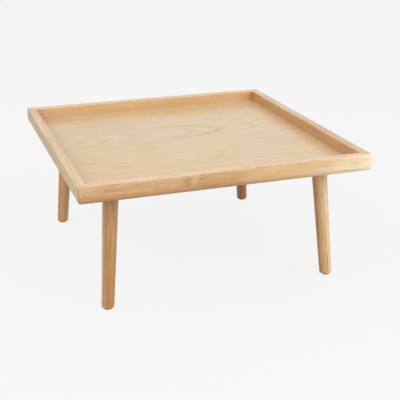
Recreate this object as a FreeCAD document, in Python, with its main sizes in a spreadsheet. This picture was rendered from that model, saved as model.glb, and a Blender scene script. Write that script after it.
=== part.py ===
import FreeCAD, Part
import os
import Sketcher

# Square oak tray table on four splayed turned legs.
# Millimetres, +Z up, +Y towards the back, origin on the floor under the middle of the tray.

SIZES = [
    # Whole table
    ("table_width", 750),
    ("table_depth", 750),
    ("table_height", 350),
    # Tray rails
    ("rail_thickness", 25),
    ("rail_bottom_round", 15),
    ("rail_edge_round", 3),
    ("rail_corner_round", 3),
    # Tray panel and the tongue that holds it in the rails
    ("tray_depth", 28),
    ("core_thickness", 15),
    ("veneer_thickness", 0.6),
    ("panel_recess", 0.8),
    ("panel_gap", 0.2),
    ("tongue_thickness", 6),
    ("tongue_length", 8),
    ("groove_clearance", 0.2),
    ("groove_end_gap", 0.5),
    # Loose tongues across the mitres
    ("spline_thickness", 4),
    ("spline_width", 16),
    ("spline_setback", 10),
    ("spline_clearance", 0.1),
    # Legs and foot pads
    ("leg_inset", 99),
    ("leg_splay", 6.5),
    ("leg_top_diameter", 40),
    ("leg_foot_diameter", 32),
    ("leg_top_chamfer", 1),
    ("leg_foot_round", 4),
    ("pad_diameter", 22),
    ("pad_thickness", 2.5),
    # Leg plates
    ("plate_thickness", 2),
    ("plate_corner_round", 6),
    ("plate_edge_margin", 9),
    ("plate_leg_gap", 0.5),
    ("boss_diameter", 34),
    # Bolts and nuts that hold the legs
    ("bolt_diameter", 8),
    ("bolt_clearance", 0.1),
    ("bolt_leg_depth", 32),
    ("bolt_leg_end_gap", 0.5),
    ("bolt_tip_length", 6),
    ("bolt_end_chamfer", 1),
    ("bolt_past_nut", 1),
    ("nut_diameter", 13),
    ("nut_height", 6.5),
    ("nut_relief", 3),
    # Plate screws
    ("screw_diameter", 4),
    ("screw_length", 14),
    ("screw_tip_length", 4),
    ("screw_clearance", 0.1),
    ("screw_end_gap", 0.3),
    ("screw_leg_gap", 7),
    ("screw_head_diameter", 8),
    ("screw_head_height", 2.4),
    ("screw_head_chamfer", 0.8),
    ("screw_recess_length", 4.4),
    ("screw_recess_width", 1.1),
    ("screw_recess_depth", 1.5),
]

# Lengths that follow from the driving sizes
PANEL_THICKNESS = "(sizes.core_thickness + 2 * sizes.veneer_thickness)"
RAIL_HEIGHT = f"(sizes.tray_depth + {PANEL_THICKNESS} + sizes.panel_recess)"
RAIL_BOTTOM = f"(sizes.table_height - {RAIL_HEIGHT})"
UNDERSIDE = f"({RAIL_BOTTOM} + sizes.panel_recess)"
TONGUE_RISE = "((sizes.core_thickness - sizes.tongue_thickness) / 2)"
GROOVE_DEPTH = "(sizes.tongue_length + sizes.groove_end_gap)"
SPLINE_HEIGHT = f"({RAIL_HEIGHT} - 2 * sizes.spline_setback)"
PANEL_X = "(sizes.table_width / 2 - sizes.rail_thickness - sizes.panel_gap)"
PANEL_Y = "(sizes.table_depth / 2 - sizes.rail_thickness - sizes.panel_gap)"
LEG_X = "(sizes.table_width / 2 - sizes.leg_inset)"
LEG_Y = "(sizes.table_depth / 2 - sizes.leg_inset)"

# Distances along a leg's axis, measured from the panel's underside
LEAN_SIN = "sin(sizes.leg_splay)"
LEAN_COS = "cos(sizes.leg_splay)"
LEG_RADIUS = "(sizes.leg_top_diameter / 2)"
SEAT = (f"((sizes.plate_thickness + sizes.plate_leg_gap + {LEG_RADIUS} * {LEAN_SIN})"
        f" / {LEAN_COS})")
SEAT_TOP = f"({SEAT} - sizes.plate_thickness)"
NUT_TOP = f"({SEAT_TOP} - sizes.nut_height)"
BOLT_TOP = f"({NUT_TOP} - sizes.bolt_past_nut)"
BOLT_BOTTOM = f"({SEAT} + sizes.bolt_leg_depth)"
FOOT = f"(({UNDERSIDE} - sizes.pad_thickness) / {LEAN_COS})"
FOOT_OVERRUN = "(sizes.leg_foot_diameter * tan(sizes.leg_splay))"
LEG_TAPER = f"(({LEG_RADIUS} - sizes.leg_foot_diameter / 2) / ({FOOT} - {SEAT}))"
BOLT_HOLE_RADIUS = "(sizes.bolt_diameter / 2 + sizes.bolt_clearance)"

# Relief for the bolt's end and pilot holes for the screws, in the panel's underside
RELIEF_RADIUS = "(sizes.nut_diameter / 2 + sizes.nut_relief)"
RELIEF_DEPTH = f"(sizes.nut_relief - {BOLT_TOP} * {LEAN_COS})"
SCREW_REACH = f"({LEG_RADIUS} + sizes.screw_leg_gap + sizes.screw_head_diameter / 2)"
SCREW_OFFSET = f"({SCREW_REACH} / sqrt(2))"
SCREW_HOLE_RADIUS = "(sizes.screw_diameter / 2 + sizes.screw_clearance)"
PILOT_DEPTH = "(sizes.screw_length - sizes.plate_thickness + sizes.screw_end_gap)"
PLATE_HALF = f"({SCREW_OFFSET} + sizes.plate_edge_margin)"

# Corner name, sign along X, sign along Y, direction of the outward diagonal in degrees
CORNERS = [
    ("front_left", -1, -1, 225),
    ("front_right", 1, -1, 315),
    ("back_left", -1, 1, 135),
    ("back_right", 1, 1, 45),
]

FULL_TURN = 360
MITRE_ANGLE = 45
UP = FreeCAD.Vector(0, 0, 1)
ORIGIN_POINT = (-1, 1)
TOLERANCE = 1e-4

doc = FreeCAD.newDocument("coffee_table")


def make_sheet():
    """The driving sizes, one per row, each with its name as alias."""
    sheet = doc.addObject("Spreadsheet::Sheet", "sizes")
    for row, (alias, value) in enumerate(SIZES, start=1):
        sheet.set(f"A{row}", alias)
        sheet.set(f"B{row}", str(value))
        sheet.setAlias(f"B{row}", alias)
    doc.recompute()


def make_body(label, x="0", y="0", z="0", turn=0):
    """A body at (x, y, z), turned about the vertical."""
    body = doc.addObject("PartDesign::Body", label)
    body.Label = label
    body.Placement = FreeCAD.Placement(FreeCAD.Vector(), FreeCAD.Rotation(UP, turn))
    for axis, place in (("x", x), ("y", y), ("z", z)):
        body.setExpression(f"Placement.Base.{axis}", place)
    return body


def make_sketch(body, plane, rise="0"):
    """A sketch on one of the body's own planes, lifted along its normal."""
    support = next(f for f in body.Origin.OriginFeatures if f.Role == plane)
    sketch = body.newObject("Sketcher::SketchObject", f"{body.Name}_sketch")
    sketch.AttachmentSupport = [(support, "")]
    sketch.MapMode = "FlatFace"
    sketch.setExpression("AttachmentOffset.Base.z", rise)
    return sketch


def hold_points(sketch, held):
    """Hold points of the sketch, each (geometry, vertex, x, y), at the given coordinates."""
    limits = []
    places = []
    for geometry, vertex, x, y in held:
        point = sketch.getPoint(geometry, vertex)
        for kind, place, now in (("DistanceX", x, point.x), ("DistanceY", y, point.y)):
            if place is not None:
                limits.append(Sketcher.Constraint(kind, *ORIGIN_POINT, geometry, vertex, now))
                places.append(place)
    for index, place in zip(sketch.addConstraint(limits), places):
        sketch.setExpression(f"Constraints[{index}]", place)


def add_polygon(sketch, corners):
    """A closed outline through the corners, each a pair of expressions."""
    start = sketch.GeometryCount
    count = len(corners)
    spokes = [FreeCAD.Rotation(UP, FULL_TURN * i / count) for i in range(count)]
    points = [spoke.multVec(FreeCAD.Vector(1, 0, 0)) for spoke in spokes]
    sides = [Part.LineSegment(points[i], points[(i + 1) % count]) for i in range(count)]
    sketch.addGeometry(sides)
    sketch.addConstraint([
        Sketcher.Constraint("Coincident", start + i, 2, start + (i + 1) % count, 1) for i in range(count)
    ])
    hold_points(sketch, [(start + i, 1, x, y) for i, (x, y) in enumerate(corners)])


def add_rectangle(sketch, x0, y0, x1, y1):
    """An upright rectangle between two opposite corners."""
    add_polygon(sketch, [(x0, y0), (x1, y0), (x1, y1), (x0, y1)])


def add_circle(sketch, x, y, radius):
    """A circle of the given radius."""
    index = sketch.addGeometry(Part.Circle(FreeCAD.Vector(), UP, 1))
    hold_points(sketch, [(index, 3, x, y)])
    limit = sketch.addConstraint(Sketcher.Constraint("Radius", index, 1.0))
    sketch.setExpression(f"Constraints[{limit}]", radius)


def add_feature(body, kind, sketch, length=None, upward=False, middle=False):
    """A pad or pocket of the sketch; without a length a pocket goes right through."""
    feature = body.newObject(f"PartDesign::{kind}", f"{body.Name}_{kind.lower()}")
    feature.Profile = sketch
    if length is None:
        feature.Type = "ThroughAll"
    else:
        feature.setExpression("Length", length)
    feature.Reversed = upward
    feature.Midplane = middle
    return feature


def add_turning(body, kind, sketch, axis):
    """A full revolution or groove of the sketch about one of its axes."""
    feature = body.newObject(f"PartDesign::{kind}", f"{body.Name}_{kind.lower()}")
    feature.Profile = sketch
    feature.ReferenceAxis = (sketch, [axis])
    feature.Angle = FULL_TURN
    return feature


def add_fillet(body, base, radius, wanted):
    """Round the edges of the base whose box is wanted within the box of all its edges."""
    doc.recompute()
    boxes = [edge.BoundBox for edge in base.Shape.Edges]
    whole = FreeCAD.BoundBox()
    for box in boxes:
        whole.add(box)
    names = [f"Edge{i}" for i, box in enumerate(boxes, start=1) if wanted(box, whole)]
    fillet = body.newObject("PartDesign::Fillet", f"{body.Name}_fillet")
    fillet.Base = (base, names)
    fillet.setExpression("Radius", radius)
    return fillet


def near(a, b):
    """Whether two coordinates agree."""
    return abs(a - b) < TOLERANCE


def make_rail(label, length, x, y, turn):
    """A mitred rail along its own X axis, outer face at y = 0 and bottom at z = 0."""
    body = make_body(label, x, y, RAIL_BOTTOM, turn)
    half = f"({length} / 2)"

    profile = make_sketch(body, "YZ_Plane")
    add_rectangle(profile, "0", "0", "sizes.rail_thickness", RAIL_HEIGHT)
    blank = add_feature(body, "Pad", profile, length, middle=True)

    def runs_along(edge, box):
        return near(edge.XLength, box.XLength)

    def is_lower_outer(edge, box):
        return runs_along(edge, box) and near(edge.YMax, box.YMin) and near(edge.ZMax, box.ZMin)

    def is_sharp(edge, box):
        at_side = near(edge.YMin, box.YMax) or near(edge.YMax, box.YMin)
        at_end = near(edge.ZMin, box.ZMax) or near(edge.ZMax, box.ZMin)
        return runs_along(edge, box) and at_side and at_end

    lower = add_fillet(body, blank, "sizes.rail_bottom_round", is_lower_outer)
    add_fillet(body, lower, "sizes.rail_edge_round", is_sharp)

    # Groove for the panel's tongue
    groove = make_sketch(body, "YZ_Plane")
    tongue_bottom = f"sizes.panel_recess + sizes.veneer_thickness + {TONGUE_RISE}"
    add_rectangle(
        groove,
        f"sizes.rail_thickness - {GROOVE_DEPTH}",
        f"{tongue_bottom} - sizes.groove_clearance",
        "sizes.rail_thickness",
        f"{tongue_bottom} + sizes.tongue_thickness + sizes.groove_clearance",
    )
    add_feature(body, "Pocket", groove, length, middle=True)

    mitres = make_sketch(body, "XY_Plane")
    slots = make_sketch(body, "XY_Plane", "sizes.spline_setback")
    rounds = make_sketch(body, "XY_Plane")
    for side in (-1, 1):
        add_mitre(mitres, side, half)
        add_spline_slot(slots, side, half)
        add_corner_round(rounds, side, half, blank.Length.Value / 2)
    add_feature(body, "Pocket", mitres, upward=True)
    add_feature(body, "Pocket", slots, SPLINE_HEIGHT, upward=True)
    add_feature(body, "Pocket", rounds, upward=True)
    return body


def add_mitre(sketch, side, half):
    """The waste beyond a rail's mitre at one end."""
    tip = f"{side} * {half}"
    heel = f"{side} * ({half} - sizes.rail_thickness)"
    add_polygon(sketch, [(tip, "0"), (tip, "sizes.rail_thickness"), (heel, "sizes.rail_thickness")])


def add_spline_slot(sketch, side, half):
    """A slot square to the mitre, at the middle of its face."""
    wide = "((sizes.spline_thickness / 2 + sizes.spline_clearance) / sqrt(2))"
    deep = "((sizes.spline_width / 2 + sizes.spline_clearance) / sqrt(2))"
    middle = "(sizes.rail_thickness / 2)"
    corners = []
    for inward, across in ((-1, -1), (1, -1), (1, 1), (-1, 1)):
        into = deep if inward > 0 else f"(0 - {wide})"
        from_tip = f"({middle} + {into} + {across} * {wide})"
        from_face = f"{middle} - {into} + {across} * {wide}"
        corners.append((f"{side} * ({half} - {from_tip})", from_face))
    add_polygon(sketch, corners)


def add_corner_round(sketch, side, half, half_now):
    """The sliver outside the round on the tray's upright corner."""
    radius = "sizes.rail_corner_round"
    radius_now = doc.sizes.rail_corner_round
    tip = FreeCAD.Vector(side * half_now, 0, 0)
    centre = FreeCAD.Vector(side * (half_now - radius_now), radius_now, 0)
    outward = FreeCAD.Vector(0, -radius_now, 0)
    turns = (0, side * MITRE_ANGLE / 2, side * MITRE_ANGLE)
    on_face, between, on_mitre = [centre + FreeCAD.Rotation(UP, turn).multVec(outward) for turn in turns]
    start, end = (on_face, on_mitre)[::side]
    face_end, mitre_end = (1, 2)[::side]
    arc = Part.Arc(start, between, end)
    curve = sketch.addGeometry(arc)
    along_face = sketch.addGeometry(Part.LineSegment(tip, on_face))
    along_mitre = sketch.addGeometry(Part.LineSegment(on_mitre, tip))
    sketch.addConstraint([
        Sketcher.Constraint("Coincident", along_face, 2, curve, face_end),
        Sketcher.Constraint("Coincident", along_mitre, 1, curve, mitre_end),
        Sketcher.Constraint("Coincident", along_mitre, 2, along_face, 1),
    ])
    inner = f"{side} * ({half} - {radius})"
    hold_points(sketch, [
        (curve, 3, inner, radius),
        (curve, face_end, inner, "0"),
        (curve, mitre_end, f"{inner} + {side} * {radius} / sqrt(2)", None),
        (along_face, 1, f"{side} * {half}", "0"),
    ])


def make_spline(corner, x_sign, y_sign, turn):
    """A loose tongue across one mitre."""
    body = make_body(
        f"{corner}_spline",
        f"{x_sign} * (sizes.table_width / 2 - sizes.rail_thickness / 2)",
        f"{y_sign} * (sizes.table_depth / 2 - sizes.rail_thickness / 2)",
        f"{RAIL_BOTTOM} + sizes.spline_setback + sizes.spline_clearance",
        turn,
    )
    sketch = make_sketch(body, "XY_Plane")
    half_thickness = "sizes.spline_thickness / 2"
    half_width = "sizes.spline_width / 2"
    add_rectangle(sketch, f"-{half_thickness}", f"-{half_width}", half_thickness, half_width)
    add_feature(body, "Pad", sketch, f"{SPLINE_HEIGHT} - 2 * sizes.spline_clearance")
    return body


def add_panel_holes(body, radius, depth, offsets):
    """Holes up into the panel at each leg, at the given offsets from the leg."""
    sketch = make_sketch(body, "XY_Plane")
    for _, x_sign, y_sign, _ in CORNERS:
        for x, y in offsets:
            add_circle(sketch, f"{x_sign} * {LEG_X} + {x}", f"{y_sign} * {LEG_Y} + {y}", radius)
    add_feature(body, "Pocket", sketch, depth, upward=True)


CENTRE = [("0", "0")]
SCREW_PLACES = [(SCREW_REACH, "0"), (f"-{SCREW_REACH}", "0"), ("0", SCREW_REACH), ("0", f"-{SCREW_REACH}")]


def make_core():
    """The panel's board core, with its tongue and the holes in its underside."""
    body = make_body("panel_core", z=f"{UNDERSIDE} + sizes.veneer_thickness")
    board = make_sketch(body, "XY_Plane")
    add_rectangle(board, f"-{PANEL_X}", f"-{PANEL_Y}", PANEL_X, PANEL_Y)
    add_feature(body, "Pad", board, "sizes.core_thickness")
    tongue = make_sketch(body, "XY_Plane", TONGUE_RISE)
    reach_x = f"({PANEL_X} + sizes.panel_gap + sizes.tongue_length)"
    reach_y = f"({PANEL_Y} + sizes.panel_gap + sizes.tongue_length)"
    add_rectangle(tongue, f"-{reach_x}", f"-{reach_y}", reach_x, reach_y)
    add_feature(body, "Pad", tongue, "sizes.tongue_thickness")
    add_panel_holes(body, RELIEF_RADIUS, f"{RELIEF_DEPTH} - sizes.veneer_thickness", CENTRE)
    add_panel_holes(body, SCREW_HOLE_RADIUS, f"{PILOT_DEPTH} - sizes.veneer_thickness", SCREW_PLACES)
    return body


def make_veneer(label, z):
    """A face veneer the size of the panel between the rails."""
    body = make_body(label, z=z)
    sketch = make_sketch(body, "XY_Plane")
    add_rectangle(sketch, f"-{PANEL_X}", f"-{PANEL_Y}", PANEL_X, PANEL_Y)
    add_feature(body, "Pad", sketch, "sizes.veneer_thickness")
    return body


def make_underside_veneer():
    """The lower veneer, holed for the bolts and screws."""
    body = make_veneer("underside_veneer", UNDERSIDE)
    add_panel_holes(body, RELIEF_RADIUS, "sizes.veneer_thickness", CENTRE)
    add_panel_holes(body, SCREW_HOLE_RADIUS, "sizes.veneer_thickness", SCREW_PLACES)
    return body


def make_leg_body(label, x_sign, y_sign, turn):
    """A body under one corner of the panel, its X axis pointing out along the diagonal."""
    return make_body(label, f"{x_sign} * {LEG_X}", f"{y_sign} * {LEG_Y}", UNDERSIDE, turn)


def on_axis(distance, radius="0"):
    """The point at a distance along the leg's leaning axis and a radius from it."""
    x = f"({distance}) * {LEAN_SIN} + ({radius}) * {LEAN_COS}"
    z = f"({radius}) * {LEAN_SIN} - ({distance}) * {LEAN_COS}"
    return (x, z)


def turn_on_axis(body, kind, outline):
    """Turn an outline of (distance, radius) pairs about the leg's leaning axis."""
    sketch = make_sketch(body, "XZ_Plane")
    add_polygon(sketch, [on_axis(distance, radius) for distance, radius in outline])
    axis = sketch.addGeometry(Part.LineSegment(FreeCAD.Vector(), FreeCAD.Vector(0, -1, 0)), True)
    hold_points(sketch, [(axis, 1, *on_axis("0")), (axis, 2, *on_axis(SEAT))])
    return add_turning(body, kind, sketch, "Axis0")


def make_leg(corner, x_sign, y_sign, turn):
    """A tapered round leg, cut level at the foot and bored for its bolt."""
    body = make_leg_body(f"{corner}_leg", x_sign, y_sign, turn)
    end_radius = f"sizes.leg_foot_diameter / 2 - {LEG_TAPER} * {FOOT_OVERRUN}"
    turn_on_axis(body, "Revolution", [
        (SEAT, "0"),
        (SEAT, f"{LEG_RADIUS} - sizes.leg_top_chamfer"),
        (f"{SEAT} + sizes.leg_top_chamfer", f"{LEG_RADIUS} - {LEG_TAPER} * sizes.leg_top_chamfer"),
        (f"{FOOT} + {FOOT_OVERRUN}", end_radius),
        (f"{FOOT} + {FOOT_OVERRUN}", "0"),
    ])
    bore_end = f"{BOLT_BOTTOM} + sizes.bolt_leg_end_gap"
    turn_on_axis(body, "Groove", [
        (SEAT, "0"), (SEAT, BOLT_HOLE_RADIUS), (bore_end, BOLT_HOLE_RADIUS), (bore_end, "0"),
    ])
    level = make_sketch(body, "XY_Plane", f"sizes.pad_thickness - {UNDERSIDE}")
    foot_x = on_axis(FOOT)[0]
    reach = "sizes.leg_foot_diameter"
    add_rectangle(level, f"{foot_x} - {reach}", f"-{reach}", f"{foot_x} + {reach}", reach)
    cut = add_feature(body, "Pocket", level)
    add_fillet(body, cut, "sizes.leg_foot_round", lambda edge, box: near(edge.ZMax, box.ZMin))
    return body


def make_foot_pad(corner, x_sign, y_sign, turn):
    """A felt disc under one foot."""
    body = make_leg_body(f"{corner}_foot_pad", x_sign, y_sign, turn)
    sketch = make_sketch(body, "XY_Plane", f"-{UNDERSIDE}")
    add_circle(sketch, on_axis(FOOT)[0], "0", "sizes.pad_diameter / 2")
    add_feature(body, "Pad", sketch, "sizes.pad_thickness")
    return body


def make_leg_plate(corner, x_sign, y_sign, turn):
    """A pressed plate whose hollow boss gives the leg a seat square to its axis."""
    body = make_leg_body(f"{corner}_leg_plate", x_sign, y_sign, turn)
    flange = make_sketch(body, "XY_Plane")
    add_rectangle(flange, f"-{PLATE_HALF}", f"-{PLATE_HALF}", PLATE_HALF, PLATE_HALF)
    blank = add_feature(body, "Pad", flange, "sizes.plate_thickness", upward=True)
    add_fillet(body, blank, "sizes.plate_corner_round", lambda edge, box: near(edge.ZLength, box.ZLength))

    boss_radius = "sizes.boss_diameter / 2"
    hollow_radius = f"{boss_radius} - sizes.plate_thickness"
    above = f"0 - {boss_radius} * tan(sizes.leg_splay) - sizes.plate_thickness"
    turn_on_axis(body, "Revolution", [
        (SEAT, "0"), (SEAT, boss_radius), (above, boss_radius), (above, "0"),
    ])
    proud = make_sketch(body, "XY_Plane")
    add_circle(proud, "0", "0", "sizes.boss_diameter")
    add_feature(body, "Pocket", proud, upward=True)
    turn_on_axis(body, "Groove", [
        (SEAT_TOP, "0"), (SEAT_TOP, hollow_radius), (above, hollow_radius), (above, "0"),
    ])
    turn_on_axis(body, "Groove", [
        (SEAT, "0"), (SEAT, BOLT_HOLE_RADIUS), (SEAT_TOP, BOLT_HOLE_RADIUS), (SEAT_TOP, "0"),
    ])
    holes = make_sketch(body, "XY_Plane")
    for side_x in (-1, 1):
        for side_y in (-1, 1):
            add_circle(holes, f"{side_x} * {SCREW_OFFSET}", f"{side_y} * {SCREW_OFFSET}", SCREW_HOLE_RADIUS)
    add_feature(body, "Pocket", holes, "sizes.plate_thickness")
    return body


def make_nut(corner, x_sign, y_sign, turn):
    """The round nut welded on top of a plate's seat."""
    body = make_leg_body(f"{corner}_nut", x_sign, y_sign, turn)
    nut_radius = "sizes.nut_diameter / 2"
    turn_on_axis(body, "Revolution", [
        (SEAT_TOP, BOLT_HOLE_RADIUS),
        (SEAT_TOP, nut_radius),
        (NUT_TOP, nut_radius),
        (NUT_TOP, BOLT_HOLE_RADIUS),
    ])
    return body


def make_bolt(corner, x_sign, y_sign, turn):
    """A hanger bolt, pointed in the leg and chamfered above the nut."""
    body = make_leg_body(f"{corner}_bolt", x_sign, y_sign, turn)
    radius = "sizes.bolt_diameter / 2"
    turn_on_axis(body, "Revolution", [
        (BOLT_TOP, "0"),
        (BOLT_TOP, f"{radius} - sizes.bolt_end_chamfer"),
        (f"{BOLT_TOP} + sizes.bolt_end_chamfer", radius),
        (f"{BOLT_BOTTOM} - sizes.bolt_tip_length", radius),
        (BOLT_BOTTOM, "0"),
    ])
    return body


def make_screw(label, x, y):
    """A pan-head wood screw, pointing up, its head under the plate."""
    body = make_body(label, x, y, f"{UNDERSIDE} - sizes.plate_thickness")
    shank = "sizes.screw_diameter / 2"
    head = "sizes.screw_head_diameter / 2"
    profile = make_sketch(body, "XZ_Plane")
    add_polygon(profile, [
        ("0", "-sizes.screw_head_height"),
        (f"{head} - sizes.screw_head_chamfer", "-sizes.screw_head_height"),
        (head, "sizes.screw_head_chamfer - sizes.screw_head_height"),
        (head, "0"),
        (shank, "0"),
        (shank, "sizes.screw_length - sizes.screw_tip_length"),
        ("0", "sizes.screw_length"),
    ])
    add_turning(body, "Revolution", profile, "V_Axis")
    along = "sizes.screw_recess_length / 2"
    across = "sizes.screw_recess_width / 2"
    for reach_x, reach_y in ((along, across), (across, along)):
        recess = make_sketch(body, "XY_Plane", "-sizes.screw_head_height")
        add_rectangle(recess, f"-{reach_x}", f"-{reach_y}", reach_x, reach_y)
        add_feature(body, "Pocket", recess, "sizes.screw_recess_depth", upward=True)
    return body


def make_group(label, pieces):
    """Identical pieces kept together as one node of separate solids."""
    group = doc.addObject("Part::Compound", label)
    group.Label = label
    group.Links = pieces
    return group


def make_screws():
    """Four screws for each leg plate."""
    screws = []
    for corner, x_sign, y_sign, _ in CORNERS:
        for i, (x, y) in enumerate(SCREW_PLACES, start=1):
            place_x = f"{x_sign} * {LEG_X} + {x}"
            place_y = f"{y_sign} * {LEG_Y} + {y}"
            screws.append(make_screw(f"{corner}_screw_{i}", place_x, place_y))
    return make_group("plate_screws", screws)


def make_table():
    """Every node of the table."""
    nodes = [
        make_rail("front_rail", "sizes.table_width", "0", "-sizes.table_depth / 2", 0),
        make_rail("right_rail", "sizes.table_depth", "sizes.table_width / 2", "0", 90),
        make_rail("back_rail", "sizes.table_width", "0", "sizes.table_depth / 2", 180),
        make_rail("left_rail", "sizes.table_depth", "-sizes.table_width / 2", "0", 270),
        make_core(),
        make_veneer("top_veneer", "sizes.table_height - sizes.tray_depth - sizes.veneer_thickness"),
        make_underside_veneer(),
    ]
    for make_piece in (make_spline, make_leg, make_foot_pad, make_leg_plate):
        nodes += [make_piece(*corner) for corner in CORNERS]
    nodes.append(make_group("weld_nuts", [make_nut(*corner) for corner in CORNERS]))
    nodes.append(make_group("hanger_bolts", [make_bolt(*corner) for corner in CORNERS]))
    nodes.append(make_screws())
    doc.recompute()
    return nodes


def check_document(nodes):
    """Stop if an object failed, a cut missed its solid or a shape is not sound."""
    for item in doc.Objects:
        if "Invalid" in item.State or "Error" in item.State:
            raise RuntimeError(f"{item.Name} failed: {item.State}")
        if item.TypeId in ("PartDesign::Pocket", "PartDesign::Groove"):
            if item.BaseFeature.Shape.Volume - item.Shape.Volume < TOLERANCE:
                raise RuntimeError(f"{item.Name} cuts nothing")
    for node in nodes:
        if node.Shape.isNull() or not node.Shape.isValid():
            raise RuntimeError(f"{node.Label} has no sound shape")


def export_nodes(nodes):
    """One file per node, named after it."""
    os.makedirs("parts", exist_ok=True)
    for node in nodes:
        node.Shape.exportStep(f"parts/{node.Label}.step")


make_sheet()
table = make_table()
check_document(table)
export_nodes(table)
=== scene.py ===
"""Looks of an oak coffee table: a mitred tray with a veneered panel, on four splayed turned legs.

Metres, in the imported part's frame: origin on the floor under the tray, +X right, +Y back, +Z up.
"""

import math
from collections import namedtuple

import bmesh
import bpy
from mathutils import Matrix, Vector


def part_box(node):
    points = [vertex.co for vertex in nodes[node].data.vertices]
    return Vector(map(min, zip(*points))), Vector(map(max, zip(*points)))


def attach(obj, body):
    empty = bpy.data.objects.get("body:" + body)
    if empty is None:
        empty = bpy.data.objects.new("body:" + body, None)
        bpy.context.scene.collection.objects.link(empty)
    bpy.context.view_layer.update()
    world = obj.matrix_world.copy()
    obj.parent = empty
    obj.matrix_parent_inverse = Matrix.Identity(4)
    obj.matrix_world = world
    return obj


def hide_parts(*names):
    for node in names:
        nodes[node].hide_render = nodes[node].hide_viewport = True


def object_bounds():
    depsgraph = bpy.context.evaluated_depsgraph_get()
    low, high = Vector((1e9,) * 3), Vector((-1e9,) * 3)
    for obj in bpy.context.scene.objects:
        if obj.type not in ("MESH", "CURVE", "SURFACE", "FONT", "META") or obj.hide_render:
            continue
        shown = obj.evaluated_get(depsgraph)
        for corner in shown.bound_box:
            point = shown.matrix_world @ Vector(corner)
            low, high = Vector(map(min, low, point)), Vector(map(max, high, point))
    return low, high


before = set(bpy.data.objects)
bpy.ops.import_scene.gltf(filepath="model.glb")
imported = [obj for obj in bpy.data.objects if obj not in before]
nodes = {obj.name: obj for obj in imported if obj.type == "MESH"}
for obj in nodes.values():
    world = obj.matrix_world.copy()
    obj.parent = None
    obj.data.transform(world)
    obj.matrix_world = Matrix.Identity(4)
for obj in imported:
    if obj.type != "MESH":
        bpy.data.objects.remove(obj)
cad_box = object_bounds()

SIDES = ("front", "right", "back", "left")
CORNERS = ("front_left", "front_right", "back_left", "back_right")
RIGHT = Vector((1, 0, 0))
BACK = Vector((0, 1, 0))
UP = Vector((0, 0, 1))
QUARTER_TURN = math.radians(90)

# Rail section, as in the part: a large round below and small rounds elsewhere.
BOTTOM_ROUND = 0.015
EDGE_ROUND = 0.003
CORNER_ROUND = 0.003
GROOVE_CLEARANCE = 0.0002
TONGUE_HEIGHT = 0.006
MITRE_EASE = 0.00018
SPLINE_THICKNESS = 0.004
SPLINE_WIDTH = 0.016
SPLINE_CLEARANCE = 0.0001
BOTTOM_STEPS = 14
EDGE_STEPS = 5
CORNER_STEPS = 4
LENGTH_STEPS = 12
WELD_DISTANCE = 1e-6
SHARP_ANGLE = math.radians(35)

# Camera, from a fit of the table's corners and legs. Angles in degrees.
CAMERA_PLACE = (-0.69314, -2.10782, 0.98442)
CAMERA_YAW = 19.347
CAMERA_PITCH = 20.840
CAMERA_ROLL = 0.027
CAMERA_LENS = 74.941
SENSOR_WIDTH = 36.0

# Colours as linear light.
OAK_PALE = (0.79, 0.665, 0.445)
OAK_DARK = (0.46, 0.22, 0.06)
OAK_BROWN = (0.4, 0.186, 0.052)
# Dark colour of the back right leg, partly painted shade.
OAK_CHESTNUT_AND_PAINTED_SHADE = (0.35, 0.148, 0.027)
OAK_WARM = (0.55, 0.26, 0.09)
OAK_RED = (0.53, 0.23, 0.062)
OAK_TAN = (0.43, 0.262, 0.098)
# Warm blotches in the wood, and painted corner shade with bounce light.
OAK_BLUSH_AND_PAINTED_CORNER_SHADE = (0.64, 0.25, 0.08)
OAK_SHADE = (0.16, 0.08, 0.025)
OAK_AMBER = (0.57, 0.268, 0.075)
OAK_ORANGE = (0.56, 0.255, 0.055)
OAK_GREY = (0.37, 0.214, 0.088)
OAK_HONEY = (0.414, 0.231, 0.053)
# A painted sheen, for the front rail's right end.
OAK_PAINTED_SHEEN = (0.9, 0.83, 0.67)
OAK_STRAW = (0.63, 0.425, 0.145)
OAK_GOLD = (0.49, 0.222, 0.046)
OAK_PORE = (0.30, 0.16, 0.07)
BIRCH_PALE = (0.74, 0.58, 0.38)
BIRCH_DARK = (0.52, 0.36, 0.2)
BOARD_PALE = (0.58, 0.44, 0.29)
BOARD_DARK = (0.42, 0.30, 0.18)
FELT_PALE = (0.10, 0.085, 0.07)
FELT_DARK = (0.04, 0.032, 0.026)
ZINC_PALE = (0.62, 0.63, 0.64)
ZINC_DARK = (0.44, 0.45, 0.47)

# Features of the oak's figure: how many to the metre along the grain and across it.
Feature = namedtuple("Feature", "along across seed detail", defaults=(0.0, 2.0))
SLOW_WANDER = Feature(1.6, 6.0)
QUICK_WANDER = Feature(11.0, 55.0)
LINE_BREAKS = Feature(42.0, 380.0, seed=5.0)
LINE_PATCHES = Feature(6.0, 26.0, seed=7.0)
FIBRES = Feature(14.0, 850.0)
FLECKS = Feature(24.0, 330.0, seed=3.0)
SHORT_FLECKS = Feature(60.0, 620.0, seed=13.0)
BANDS = Feature(5.0, 130.0, detail=3.0)
CLOUDS = Feature(3.0, 13.0, seed=9.0)
PORES = Feature(110.0, 2300.0, detail=0.0)
BLOTCH_EDGES = Feature(70.0, 200.0)

# Growth rings: their spacing, how faint some are, their early wood, and the boldest of them.
QUICK_SHARE = 0.22
UNEVEN_RATE = 0.41
UNEVEN_AMOUNT = 1.3
FAINT_RATE = 0.29
FAINT_SEED = 31.0
EARLY_ONSET = 0.10
EARLY_POWER = 3.0
BOLD_FALL = 0.3
BOLD_STRENGTH = 0.55
BREAK_FULL = 1.35
NO_BOLD_RING = -100.0

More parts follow.
